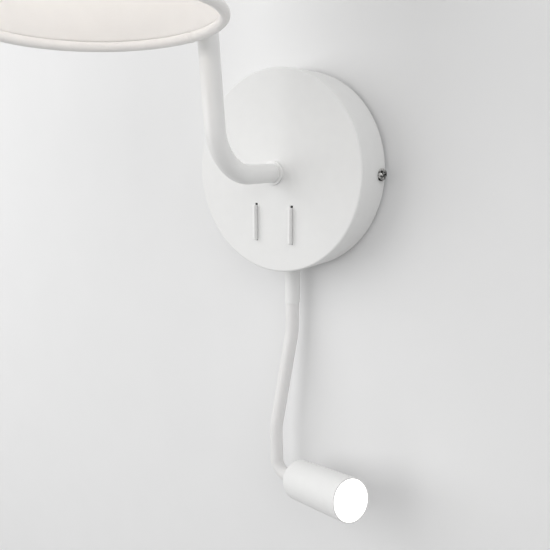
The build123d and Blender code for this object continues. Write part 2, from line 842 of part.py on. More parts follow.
with BuildPart() as neck_ferrule:
    with BuildSketch(Plane.XY.offset(ferrule_end)):
        with Locations((neck_x, -neck_out)):
            Circle(ferrule_radius)
    extrude(amount=ferrule_length + canopy_wall)
    with BuildSketch(Plane.XZ):
        Circle(canopy_radius + face_gap)
    extrude(amount=canopy_front, mode=Mode.SUBTRACT)
    fillet(neck_ferrule.edges().sort_by(Axis.Z)[0], ferrule_round)
    with BuildSketch(Plane.XY.offset(neck_start.Z)):
        with Locations((neck_x, -neck_out)):
            Circle(spigot_radius)
    extrude(amount=neck_start_drop + spigot_reach)
    with BuildSketch(Plane.XY.offset(ferrule_end)):
        with Locations((neck_x, -neck_out)):
            Circle(spigot_bore)
    extrude(amount=ferrule_length + spigot_reach, mode=Mode.SUBTRACT)
    with BuildSketch(Plane.XY.offset(ferrule_end)):
        with Locations((neck_x, -neck_out)):
            Circle(neck_radius + press_gap)
    extrude(amount=neck_start.Z - ferrule_end, mode=Mode.SUBTRACT)
pieces["neck_ferrule"] = neck_ferrule

with BuildPart() as neck_saddle_washer:
    with BuildSketch(Plane.XY.offset(-canopy_radius)):
        with Locations((neck_x, -neck_out)):
            ring(saddle_radius, spigot_radius + press_gap)
    extrude(amount=canopy_radius + saddle_top)
    with BuildSketch(Plane.XZ):
        Circle(canopy_bore - face_gap)
    extrude(amount=canopy_front, mode=Mode.INTERSECT)
pieces["neck_saddle_washer"] = neck_saddle_washer

with BuildPart() as neck_nut:
    with BuildSketch(Plane.XY.offset(saddle_top)):
        with Locations((neck_x, -neck_out)):
            RegularPolygon(neck_nut_flats / 2, 6, major_radius=False)
            Circle(spigot_radius + thread_gap, mode=Mode.SUBTRACT)
    extrude(amount=neck_nut_thickness)
pieces["neck_nut"] = neck_nut

neck_route = [neck_start + Vector(*step) for step in neck_steps]
cut_reach = neck_radius + cut_spare

with BuildPart() as neck:
    with BuildLine() as neck_path:
        FilletPolyline(*neck_route, radius=neck_bends)
    with BuildSketch(Plane(origin=neck_route[0], z_dir=neck_route[1] - neck_route[0])):
        Circle(neck_radius)
    sweep()
    neck_line = neck_path.wire()
    # each cut is a thin disc that widens outwards, so that its two faces can roll towards each other
    for place, turn in neck_cuts:
        middle = neck_line.position_at(place, position_mode=PositionMode.LENGTH)
        along = neck_line.tangent_at(place, position_mode=PositionMode.LENGTH)
        across = Plane(origin=middle, z_dir=along).x_dir
        half = link_gap / 2
        flare = cut_reach * tan(radians((turn + link_spare) / 2))
        with BuildSketch(Plane(origin=middle, x_dir=across, z_dir=across.cross(along))):
            with BuildLine():
                Polyline(
                    (0, -half),
                    (cut_reach, -half - flare),
                    (cut_reach, half + flare),
                    (0, half),
                    close=True,
                )
            make_face()
        revolve(axis=Axis(middle, along), mode=Mode.SUBTRACT)

segment_names = [f"neck_segment_{number}" for number in range(1, len(neck_cuts))]
link_names = ["neck_root", *segment_names, "neck_end"]
for name, link in zip(link_names, neck.solids().sort_by(neck_line)):
    with BuildPart() as neck_link:
        add(link)
    pieces[name] = neck_link

# ======== reading head ========

head_rear = neck_route[-1]
head_forward = (neck_route[-1] - neck_route[-2]).normalized()
head_side = Vector(head_forward.Y, -head_forward.X, 0).normalized()
head_plane = Plane(origin=head_rear, x_dir=head_side, z_dir=head_forward)
head_profile_plane = Plane(origin=head_rear, x_dir=head_side, z_dir=head_side.cross(head_forward))
head_axis = Axis(head_rear, head_forward)
head_bore = head_radius - head_wall
board_rear = sink_rear + sink_length
chip_rear = board_rear + board_thickness
lens_rear = chip_rear + chip_thickness
lens_front = head_length - lens_recess
lens_step = lens_front - lens_flange
lens_waist = head_bore - lens_ring_width - loose_gap

with BuildPart() as head_housing:
    with BuildSketch(head_plane):
        Circle(head_radius)
    extrude(amount=head_length)
    fillet(head_housing.edges().filter_by(GeomType.CIRCLE).sort_by(head_axis)[0], head_rear_round)
    with BuildSketch(head_plane.offset(head_rear_wall)):
        Circle(head_bore)
    extrude(amount=head_length - head_rear_wall, mode=Mode.SUBTRACT)
    with BuildSketch(head_plane):
        Circle(spigot_radius + press_gap)
    extrude(amount=head_rear_wall, mode=Mode.SUBTRACT)
pieces["head_housing"] = head_housing

with BuildPart() as head_gland:
    with BuildSketch(head_plane):
        ring(spigot_radius, gland_bore)
    extrude(amount=head_rear_wall)
    with BuildSketch(head_plane.offset(head_rear_wall)):
        ring(gland_radius, gland_bore)
    extrude(amount=gland_length)
pieces["head_gland"] = head_gland

with BuildPart() as head_heat_sink:
    with BuildSketch(head_plane.offset(sink_rear)):
        ring(head_bore - press_gap, gland_bore)
        with PolarLocations(head_bore - sink_slot_depth / 2, sink_fins):
            Rectangle(sink_slot_depth, sink_slot_width, mode=Mode.SUBTRACT)
    extrude(amount=sink_length)
pieces["head_heat_sink"] = head_heat_sink

with BuildPart() as head_led_board:
    with BuildSketch(head_plane.offset(board_rear)):
        Circle(board_radius)
    extrude(amount=board_thickness)
pieces["head_led_board"] = head_led_board

with BuildPart() as head_led_chip:
    with BuildSketch(head_plane.offset(chip_rear)):
        Circle(chip_radius)
    extrude(amount=chip_thickness)
pieces["head_led_chip"] = head_led_chip

with BuildPart() as head_lens:
    with BuildSketch(head_profile_plane):
        with BuildLine():
            Polyline(
                (0, lens_rear),
                (lens_rear_radius, lens_rear),
                (lens_waist, lens_step - lens_ring_depth),
                (lens_waist, lens_step),
                (head_bore - press_gap, lens_step),
                (head_bore - press_gap, lens_front),
                (0, lens_front),
                close=True,
            )
        make_face()
    revolve(axis=head_axis)
pieces["head_lens"] = head_lens

with BuildPart() as head_lens_ring:
    with BuildSketch(head_plane.offset(lens_step - lens_ring_depth)):
        ring(head_bore - press_gap, head_bore - lens_ring_width)
    extrude(amount=lens_ring_depth)
pieces["head_lens_ring"] = head_lens_ring

with BuildPart() as head_leads:
    with BuildSketch(head_plane):
        with Locations((-head_wire_pitch / 2, 0), (head_wire_pitch / 2, 0)):
            Circle(head_wire_radius)
    extrude(amount=board_rear)
pieces["head_leads"] = head_leads

# ======== leads inside the canopy ========

lead_out = bracket_thickness + wire_hole_out - wire_hole_radius
driver_side = driver_width / 2
lead_height = driver_z - driver_lead_drop
supply_route = [
    (block_x - pole_pitch, -lead_out, 0),
    (block_x - pole_pitch, -lead_out, lead_height),
    (-driver_side, -lead_out, lead_height),
]
with BuildPart() as driver_supply_lead:
    with BuildLine():
        FilletPolyline(*supply_route, radius=supply_wire_bend)
    with BuildSketch(Plane(origin=supply_route[0], z_dir=(0, 0, 1))):
        Circle(supply_wire_radius)
    sweep()
pieces["driver_supply_lead"] = driver_supply_lead

neck_lead_route = [
    (driver_side, -neck_out, lead_height),
    (driver_side + neck_lead_out, -neck_out, lead_height),
    (driver_side + neck_lead_bow, -neck_out, neck_lead_bow_z),
    (driver_side + neck_lead_turn, -neck_out, neck_lead_turn_z),
    (neck_x, -neck_out, neck_lead_low_z),
    (neck_x, -neck_out, neck_start.Z),
]
with BuildPart() as neck_lead:
    with BuildLine():
        FilletPolyline(*neck_lead_route, radius=neck_lead_bends)
    with BuildSketch(Plane(origin=neck_lead_route[0], z_dir=(1, 0, 0))):
        Circle(neck_lead_radius)
    sweep()
pieces["neck_lead"] = neck_lead

for name, piece in pieces.items():
    piece.part.label = name
    export_step(piece.part, f"parts/{name}.step")
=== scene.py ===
import json
from math import cos, pi, radians, sin, sqrt

import bpy
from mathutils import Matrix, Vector


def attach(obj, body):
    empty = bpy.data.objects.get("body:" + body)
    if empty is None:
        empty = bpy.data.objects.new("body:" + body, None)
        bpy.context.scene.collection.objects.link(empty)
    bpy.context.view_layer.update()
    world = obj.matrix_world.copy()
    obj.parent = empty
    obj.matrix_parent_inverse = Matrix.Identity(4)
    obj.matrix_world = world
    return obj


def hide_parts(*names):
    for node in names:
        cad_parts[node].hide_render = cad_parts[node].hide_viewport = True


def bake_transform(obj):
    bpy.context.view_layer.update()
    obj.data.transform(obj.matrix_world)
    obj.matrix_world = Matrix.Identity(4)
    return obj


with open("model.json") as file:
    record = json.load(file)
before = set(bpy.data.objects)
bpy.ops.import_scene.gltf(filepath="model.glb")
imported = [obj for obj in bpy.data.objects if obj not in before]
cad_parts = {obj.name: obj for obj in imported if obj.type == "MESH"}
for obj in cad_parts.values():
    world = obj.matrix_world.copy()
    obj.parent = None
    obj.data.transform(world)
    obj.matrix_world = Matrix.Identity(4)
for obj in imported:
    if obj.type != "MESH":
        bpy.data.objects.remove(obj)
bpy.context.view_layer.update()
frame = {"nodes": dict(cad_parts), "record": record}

nodes = frame["nodes"]
MM = 0.001

# ---------------------------------------------------------------- camera
# The photograph looks at the lamp from its right front and slightly above the canopy.
CAMERA_PLACE = (0.26156, -0.37523, 0.02147)
CAMERA_TURN = 37.403  # degrees to the left of straight at the wall
CAMERA_DIP = 13.064  # degrees below level
CAMERA_LENS = 37.11  # on a 36 mm wide sensor

camera_data = bpy.data.cameras.new("camera")
camera_data.lens = CAMERA_LENS
camera_data.sensor_width = 36.0
camera_data.clip_start = 0.01
camera_data.clip_end = 20.0
camera = bpy.data.objects.new("camera", camera_data)
camera.location = CAMERA_PLACE
camera.rotation_euler = (radians(90 - CAMERA_DIP), 0, radians(CAMERA_TURN))
bpy.context.scene.collection.objects.link(camera)
bpy.context.scene.camera = camera
bpy.context.scene.view_settings.view_transform = "Standard"

# ---------------------------------------------------------------- sizes repeated from the part
ARM_LEAN = radians(4.1)
ARM_UP = Vector((-sin(ARM_LEAN), 0, cos(ARM_LEAN)))
ARM_SIDE = Vector((cos(ARM_LEAN), 0, sin(ARM_LEAN)))
OUT = Vector((0, -1, 0))
ARM_RADIUS = 7.0 * MM
ARM_WALL = 1.0 * MM
ARM_BEND = 32 * MM
# places on the arm's centre line in millimetres, out of the wall and up along the leaning arm
ARM_START = 37.05
ARM_UPRIGHT_OUT = 95
ARM_TOP = 236
ARM_REACH = 177.3
ARM_END_RISE = 198
ARM_CORNERS = [
    (ARM_START, 0),
    (ARM_UPRIGHT_OUT, 0),
    (ARM_UPRIGHT_OUT, ARM_TOP),
    (ARM_REACH, ARM_TOP),
    (ARM_REACH, ARM_END_RISE),
]

SHADE_FOOT_RISE = 82  # up the leaning arm, in millimetres
SHADE_FOOT = OUT * ARM_REACH * MM + ARM_UP * SHADE_FOOT_RISE * MM
SHADE_HEIGHT = 120 * MM
SHADE_BOTTOM_RADIUS = 66 * MM
SHADE_TOP_RADIUS = 62 * MM
HEM_RADIUS = 3 * MM

NECK_RADIUS = 5.4 * MM
NECK_START = Vector((1.8, -12, -82)) * MM
# corners of the neck's centre line from its start, the bends at its inner corners, and lengths along it,
# all in millimetres
NECK_CORNERS = [
    (0.0, 0.0, 0.0),
    (0.0, 0.0, -47.3),
    (-8.7, -10.4, -132.7),
    (-6.95, -11.0, -174.8),
    (9.35, -11.9, -172.7),
    (17.75, -15.3, -169.9),
]
NECK_BENDS = [80.0, 60.0, 11.5, 17.0]
NECK_LENGTH = 195.7
# each hinge of the neck, with the half width of the stretch of sleeve that bends there
NECK_HINGES = [(33, 11.5), (58, 11.5), (83, 11.5), (108, 11.5), (132.5, 10), (154, 7), (170, 7)]

# ---------------------------------------------------------------- sizes of the soft pieces
CLOTH_THICKNESS = 0.6 * MM
LINING_THICKNESS = 0.5 * MM
CLOTH_LENGTH = 139.8 * MM  # from edge to edge over both rolled hems
HEM_PRESSED = 13 * MM  # how far the cloth is pressed flat from each edge
THREAD_SPACING = 0.9 * MM  # the real threads are 0.4 mm apart, and these are wider so that they show
# steps round the shade, up its wall and round each roll
SHADE_SIDES = 400
WALL_ROWS = 40
ROLL_STEPS = 30
BOTTOM_ROLL = (108, 425)  # degrees round the ring wire, where 0 is straight out from the shade's axis
TOP_ROLL = (-65, 252)
ROLL_SHARE = 0.11  # of the cloth's length, at each end
ROLL_EASE = 0.03  # of the cloth's length, over which a roll sets in
ROLL_GAP = 0.4 * MM  # in height, between a roll and the first row of the wall
LINING_INSET = 1.7 * MM  # in height, between the middle of a roll and the lining's edge
SLACK = 0.12 * MM
SEAM_ANGLE = radians(88)  # from the shade's right side towards the wall
SEAM_WIDTH = radians(7)
SEAM_EDGE = radians(0.8)
SEAM_STEP = 0.35 * MM
LAP_DEPTH = 0.7 * MM
PUCKER_DEPTH = 0.03 * MM
SLEEVE_WALL = 1.6 * MM
SLEEVE_STEP = 0.8 * MM  # along the neck, between the rings of the sleeve's mesh
WINDING_SPACING = 3.2 * MM  # the real windings are 1.6 mm apart, and these are wider so that they show
BEND_STEPS = 40  # in each rounded corner of a swept line
SHARP_EDGE = radians(40)

# most of a noise texture's values lie between these two
NOISE_LOW = 0.3
NOISE_HIGH = 0.7


# ---------------------------------------------------------------- helpers
def add_node(tree, kind, inputs=None, **settings):
    """Add a node, set its properties, and fill its inputs with values or with other nodes' sockets.

    An input goes by its number where the node gives its name to two of them: 0, 6 and 7 are the factor and
    colours of a mix, 1 to 4 the limits of a map range, and 4 and 5 the lengths at which a line is cut.
    """
    made = tree.nodes.new(kind)
    for name, value in settings.items():
        setattr(made, name, value)
    for name, value in (inputs or {}).items():
        if isinstance(value, bpy.types.NodeSocket):
            tree.links.new(value, made.inputs[name])
        else:
            made.inputs[name].default_value = value
    return made


def hex_colour(code):
    """sRGB hex to linear red, green, blue and alpha."""
    channels = [int(code[i:i + 2], 16) / 255 for i in (1, 3, 5)]
    return (*[c / 12.92 if c <= 0.04045 else ((c + 0.055) / 1.055) ** 2.4 for c in channels], 1.0)


def new_material(name, **constants):
    """A material whose shader's constant sockets are set, as (material, tree, shader)."""
    material = bpy.data.materials.new(name)
    material.use_nodes = True
    tree = material.node_tree
    shader = tree.nodes["Principled BSDF"]
    for socket, value in constants.items():
        shader.inputs[socket.replace("_", " ")].default_value = value
    return material, tree, shader


def mottled_colour(tree, shader, place, light, dark, size, detail=3.0):
    """Let the base colour wander between two hex colours in patches of the given size in metres."""
    patches = add_node(tree, "ShaderNodeTexNoise", {"Vector": place, "Scale": 1 / size, "Detail": detail})
    colours = {0: patches.outputs["Fac"], 6: hex_colour(dark), 7: hex_colour(light)}
    colour = add_node(tree, "ShaderNodeMix", colours, data_type="RGBA")
    tree.links.new(colour.outputs[2], shader.inputs["Base Color"])


def uneven_gloss(tree, shader, place, size, smooth, rough, detail=2.0):
    """Let the roughness wander between two values in patches of the given size in metres."""
    patches = add_node(tree, "ShaderNodeTexNoise", {"Vector": place, "Scale": 1 / size, "Detail": detail})
    limits = {"Value": patches.outputs["Fac"], 1: NOISE_LOW, 2: NOISE_HIGH, 3: smooth, 4: rough}
    gloss = add_node(tree, "ShaderNodeMapRange", limits)
    tree.links.new(gloss.outputs["Result"], shader.inputs["Roughness"])


def grain_relief(tree, shader, place, size, depth, strength, detail=2.0, under=None):
    """Raise the surface by a grain of the given size and depth in metres, on top of an earlier relief."""
    grain = add_node(tree, "ShaderNodeTexNoise", {"Vector": place, "Scale": 1 / size, "Detail": detail})
    raised = add_node(
        tree, "ShaderNodeBump", {"Height": grain.outputs["Fac"], "Distance": depth, "Strength": strength}
    )
    if under is not None:
        tree.links.new(under, raised.inputs["Normal"])
    tree.links.new(raised.outputs["Normal"], shader.inputs["Normal"])
    return raised.outputs["Normal"]


# ---------------------------------------------------------------- materials
def powder_coat():
    """Matt white powder coat on steel and aluminium: an even soft white with a faint orange peel."""
    material, tree, shader = new_material("powder_coat_white", IOR=1.5)
    place = add_node(tree, "ShaderNodeTexCoord").outputs["Object"]
    mottled_colour(tree, shader, place, "#EBEBEA", "#E7E7E6", 9 * MM)
    uneven_gloss(tree, shader, place, 2.5 * MM, 0.5, 0.6)
    peel = grain_relief(tree, shader, place, 1.4 * MM, 0.03 * MM, 0.6, 1.0)
    # the real grain is near 0.05 mm; it is drawn at 0.35 mm so that it shows
    grain_relief(tree, shader, place, 0.35 * MM, 0.008 * MM, 0.6, under=peel)
    return material


def arm_enamel():
    """Satin white enamel on the bent tube: smoother than the canopy, with a soft broad highlight."""
    material, tree, shader = new_material(
        "satin_enamel_white", IOR=1.5, Coat_Weight=0.15, Coat_Roughness=0.35
    )
    place = add_node(tree, "ShaderNodeTexCoord").outputs["Object"]
    mottled_colour(tree, shader, place, "#EEEEED", "#EAEAE9", 12 * MM)
    uneven_gloss(tree, shader, place, 3 * MM, 0.38, 0.46)
    grain_relief(tree, shader, place, 1.8 * MM, 0.02 * MM, 0.5, 1.0)
    return material


def neck_sleeve_vinyl():
    """Soft white vinyl drawn over the wound neck: satin, with a faint wave where it lies on the windings."""
    material, tree, shader = new_material(
        "soft_vinyl_white",
        IOR=1.53, Subsurface_Weight=0.05, Subsurface_Radius=(0.002, 0.0018, 0.0016), Subsurface_Scale=1.0,
    )
    place = add_node(tree, "ShaderNodeTexCoord").outputs["Object"]
    mottled_colour(tree, shader, place, "#E8E7E6", "#E4E3E2", 7 * MM)
    uneven_gloss(tree, shader, place, 2 * MM, 0.44, 0.54)
    windings = add_node(
        tree, "ShaderNodeTexWave", {"Vector": place, "Scale": pi / 10 / WINDING_SPACING, "Distortion": 0.4},
        wave_type="BANDS", bands_direction="Z",
    )
    waved = add_node(
        tree, "ShaderNodeBump", {"Height": windings.outputs["Fac"], "Distance": 0.012 * MM, "Strength": 0.5}
    )
    grain_relief(tree, shader, place, 0.6 * MM, 0.01 * MM, 0.5, under=waved.outputs["Normal"])
    return material


def moulded(name, light, dark, smooth, rough, grain, ior=1.46):
    """Moulded plastic: a fine spark-eroded texture of the given grain and a slightly uneven gloss."""
    material, tree, shader = new_material(name, IOR=ior)
    place = add_node(tree, "ShaderNodeTexCoord").outputs["Object"]
    mottled_colour(tree, shader, place, light, dark, 5 * MM)
    uneven_gloss(tree, shader, place, 1.5 * MM, smooth, rough)
    grain_relief(tree, shader, place, grain, 0.02 * MM, 0.5)
    return material


def plated_steel():
    """Bright zinc plate on rolled steel: bluish grey, fine rolling lines along X and patchy clouds."""
    material, tree, shader = new_material("zinc_plated_steel", Metallic=1.0)
    place = add_node(tree, "ShaderNodeTexCoord").outputs["Object"]
    mottled_colour(tree, shader, place, "#C9CDD2", "#AEB4BC", 6 * MM, 4.0)
    drawn = add_node(tree, "ShaderNodeMapping", {"Vector": place, "Scale": (0.06, 1.0, 1.0)})
    uneven_gloss(tree, shader, drawn.outputs["Vector"], 0.5 * MM, 0.26, 0.42, 3.0)
    grain_relief(tree, shader, drawn.outputs["Vector"], 0.5 * MM, 0.01 * MM, 0.5, 3.0)
    return material


def bright_nickel():
    """Nickel-plated screw heads: hard dark and bright patches painted into the base colour, a painted
    reflection of a room as a mirror shows it.
    """
    material, tree, shader = new_material("bright_nickel", Metallic=1.0)
    place = add_node(tree, "ShaderNodeTexCoord").outputs["Object"]
    # the dark and bright patches below are a painted reflection in the base colour, not the nickel's own
    # colour
    patches = add_node(tree, "ShaderNodeTexNoise", {"Vector": place, "Scale": 1 / (2.6 * MM), "Detail": 1.0})
    limits = {"Value": patches.outputs["Fac"], 1: NOISE_LOW, 2: NOISE_HIGH, 3: -0.6, 4: 1.6}
    painted_reflection = add_node(tree, "ShaderNodeMapRange", limits)
    colours = {0: painted_reflection.outputs["Result"], 6: hex_colour("#1E1E1D"), 7: hex_colour("#D8D7D5")}
    colour = add_node(tree, "ShaderNodeMix", colours, data_type="RGBA")
    tree.links.new(colour.outputs[2], shader.inputs["Base Color"])
    uneven_gloss(tree, shader, place, 0.8 * MM, 0.12, 0.24)
    grain_relief(tree, shader, place, 0.4 * MM, 0.008 * MM, 0.4)
    return material


def bare_brass():
    """Stamped brass: warm yellow with dull clouds where it has begun to tarnish."""
    material, tree, shader = new_material("bare_brass", Metallic=1.0)
    place = add_node(tree, "ShaderNodeTexCoord").outputs["Object"]
    mottled_colour(tree, shader, place, "#D9B45F", "#B08A42", 3 * MM, 4.0)
    uneven_gloss(tree, shader, place, 1.2 * MM, 0.2, 0.4)
    grain_relief(tree, shader, place, 0.3 * MM, 0.006 * MM, 0.4)
    return material


def bare_aluminium():
    """Extruded aluminium: pale grey with die lines."""
    material, tree, shader = new_material("extruded_aluminium", Metallic=1.0)
    place = add_node(tree, "ShaderNodeTexCoord").outputs["Object"]
    mottled_colour(tree, shader, place, "#D3D4D6", "#BFC1C4", 4 * MM)
    drawn = add_node(tree, "ShaderNodeMapping", {"Vector": place, "Scale": (0.1, 1.0, 1.0)})
    uneven_gloss(tree, shader, drawn.outputs["Vector"], 0.4 * MM, 0.28, 0.45, 3.0)
    grain_relief(tree, shader, drawn.outputs["Vector"], 0.4 * MM, 0.01 * MM, 0.5, 3.0)
    return material


def steatite():
    """Unglazed steatite of the lampholder's insert: chalky cream with a fine pressed grain."""
    material, tree, shader = new_material("unglazed_steatite", IOR=1.55)
    place = add_node(tree, "ShaderNodeTexCoord").outputs["Object"]
    mottled_colour(tree, shader, place, "#EDE9DE", "#DFDACC", 3 * MM, 4.0)
    uneven_gloss(tree, shader, place, 0.9 * MM, 0.7, 0.85)
    grain_relief(tree, shader, place, 0.35 * MM, 0.03 * MM, 0.6, 3.0)
    return material


def opal_glass():
    """Opal-coated bulb globe with the bulb on: milky, glossy outside, an even glow from inside."""
    material, tree, shader = new_material(
        "opal_glass",
        IOR=1.5, Subsurface_Weight=0.6, Subsurface_Radius=(0.006, 0.0055, 0.005), Subsurface_Scale=1.0,
        Coat_Weight=0.6, Coat_Roughness=0.05, Emission_Color=hex_colour("#FFFCFA"), Emission_Strength=3.2,
    )
    place = add_node(tree, "ShaderNodeTexCoord").outputs["Object"]
    mottled_colour(tree, shader, place, "#F2F0EA", "#ECEAE4", 8 * MM, 2.0)
    uneven_gloss(tree, shader, place, 4 * MM, 0.14, 0.2)
    return material


def lit_lens():
    """Moulded diffusing lens with the diodes on: an even white glow over a finely pebbled face."""
    material, tree, shader = new_material(
        "lit_diffuser",
        IOR=1.49, Roughness=0.35, Emission_Color=hex_colour("#FFFDF8"), Emission_Strength=2.4,
    )
    place = add_node(tree, "ShaderNodeTexCoord").outputs["Object"]
    mottled_colour(tree, shader, place, "#FBFBF8", "#F6F6F2", 3 * MM, 2.0)
    grain_relief(tree, shader, place, 0.5 * MM, 0.02 * MM, 0.4)
    return material


def phosphor():
    """Silicone and phosphor over the diode chip: matt egg yellow."""
    material, tree, shader = new_material("diode_phosphor", IOR=1.41)
    place = add_node(tree, "ShaderNodeTexCoord").outputs["Object"]
    mottled_colour(tree, shader, place, "#F3D84E", "#E9C93C", 1 * MM)
    uneven_gloss(tree, shader, place, 0.6 * MM, 0.4, 0.5)
    return material


def shade_cloth():
    """Plain-woven off-white cotton and linen: two crossing sets of uneven threads with slubs.

    The rolled hems are pressed flat and pale. V runs up the cloth from its lower edge to its upper one.
    """
    material, tree, shader = new_material(
        "woven_cotton_linen", IOR=1.45, Roughness=0.9, Sheen_Weight=0.25, Sheen_Roughness=0.5
    )
    uv = add_node(tree, "ShaderNodeUVMap", uv_map="UVMap").outputs["UV"]
    wobble = add_node(tree, "ShaderNodeTexNoise", {"Vector": uv, "Scale": 1 / (6 * MM), "Detail": 2.0})
    shift = {0: wobble.outputs["Color"], "Scale": 0.7 * MM}
    drift = add_node(tree, "ShaderNodeVectorMath", shift, operation="SCALE")
    moved = add_node(tree, "ShaderNodeVectorMath", {0: uv, 1: drift.outputs["Vector"]}, operation="ADD")
    sets = []
    for direction, stretch in (("X", (1.0, 0.1, 1.0)), ("Y", (0.1, 1.0, 1.0))):
        thread = add_node(
            tree, "ShaderNodeTexWave",
            {
                "Vector": moved.outputs["Vector"],
                "Scale": pi / 10 / THREAD_SPACING,
                "Distortion": 0.6,
                "Detail": 1.0,
            },
            wave_type="BANDS", bands_direction=direction,
        )
        along = add_node(tree, "ShaderNodeMapping", {"Vector": uv, "Scale": stretch}).outputs["Vector"]
        slub = add_node(tree, "ShaderNodeTexNoise", {"Vector": along, "Scale": 1 / (1.6 * MM), "Detail": 3.0})
        uneven = {0: thread.outputs["Fac"], 1: slub.outputs["Fac"]}
        sets.append(add_node(tree, "ShaderNodeMath", uneven, operation="MULTIPLY").outputs[0])
    weave = add_node(tree, "ShaderNodeMath", {0: sets[0], 1: sets[1]}, operation="ADD").outputs[0]
    colours = {0: weave, 6: hex_colour("#E2DFDB"), 7: hex_colour("#F1EFEC")}
    woven = add_node(tree, "ShaderNodeMix", colours, data_type="RGBA").outputs[2]

    height = add_node(tree, "ShaderNodeSeparateXYZ", {0: uv}).outputs["Y"]
    middle = add_node(tree, "ShaderNodeMath", {0: height, 1: CLOTH_LENGTH / 2}, operation="SUBTRACT")
    from_middle = add_node(tree, "ShaderNodeMath", {0: middle.outputs[0]}, operation="ABSOLUTE").outputs[0]
    fold = CLOTH_LENGTH / 2 - HEM_PRESSED
    limits = {"Value": from_middle, 1: fold - 1 * MM, 2: fold + 1 * MM, 3: 0.0, 4: 1.0}
    pressed = add_node(tree, "ShaderNodeMapRange", limits).outputs["Result"]
    colours = {0: pressed, 6: woven, 7: hex_colour("#F3F1EF")}
    colour = add_node(tree, "ShaderNodeMix", colours, data_type="RGBA")
    tree.links.new(colour.outputs[2], shader.inputs["Base Color"])
    limits = {"Value": pressed, 1: 0.0, 2: 1.0, 3: 0.7, 4: 0.12}
    strength = add_node(tree, "ShaderNodeMapRange", limits).outputs["Result"]
    raised = add_node(tree, "ShaderNodeBump", {"Height": weave, "Distance": 0.12 * MM, "Strength": strength})
    tree.links.new(raised.outputs["Normal"], shader.inputs["Normal"])
    return material


def shade_backing():
    """Laminated lining behind the cloth: pale warm white, the weave only just printing through."""
    material, tree, shader = new_material("laminated_lining", IOR=1.46, Roughness=0.6, Sheen_Weight=0.1)
    uv = add_node(tree, "ShaderNodeUVMap", uv_map="UVMap").outputs["UV"]
    mottled_colour(tree, shader, uv, "#F2F0EE", "#ECEAE8", 14 * MM, 2.0)
    threads = add_node(
        tree, "ShaderNodeTexWave",
        {"Vector": uv, "Scale": pi / 10 / THREAD_SPACING, "Distortion": 1.5, "Detail": 1.0},
        wave_type="BANDS", bands_direction="Y",
    )
    raised = add_node(
        tree, "ShaderNodeBump", {"Height": threads.outputs["Fac"], "Distance": 0.02 * MM, "Strength": 0.4}
    )
    tree.links.new(raised.outputs["Normal"], shader.inputs["Normal"])
    return material


FINISHES = {
    "white_paint": powder_coat(),
    "white_aluminium": powder_coat(),
    "arm_enamel": arm_enamel(),
    "neck_sleeve": neck_sleeve_vinyl(),
    "zinc_steel": plated_steel(),
    "chrome_screw": bright_nickel(),
    "brass": bare_brass(),
    "bare_aluminium": bare_aluminium(),
    "white_moulding": moulded("polycarbonate_white", "#ECECE9", "#E6E6E3", 0.45, 0.58, 0.5 * MM),
    "rocker_white": moulded("rocker_plastic_white", "#EFEFEE", "#EBEBEA", 0.26, 0.34, 0.8 * MM),
    "black_moulding": moulded("nylon_black", "#1D1D1E", "#151516", 0.5, 0.62, 0.5 * MM),
    "lead_white": moulded("cable_vinyl_white", "#E9E8E4", "#E2E1DC", 0.42, 0.5, 0.8 * MM, 1.53),
    "steatite": steatite(),
    "opal_globe": opal_glass(),
    "lens_diffuser": lit_lens(),
    "led_phosphor": phosphor(),
    "led_board": moulded("solder_mask_white", "#EDEDEA", "#E5E5E1", 0.3, 0.4, 0.6 * MM),
    "shade_cloth": shade_cloth(),
    "shade_backing": shade_backing(),
}

# every node of the part gets the finish of its slot
slot_of = {row["node"]: row["material_slot"] for row in frame["record"]["subparts"]}
for name, piece in nodes.items():
    piece.data.materials.clear()
    piece.data.materials.append(FINISHES[slot_of[name]])


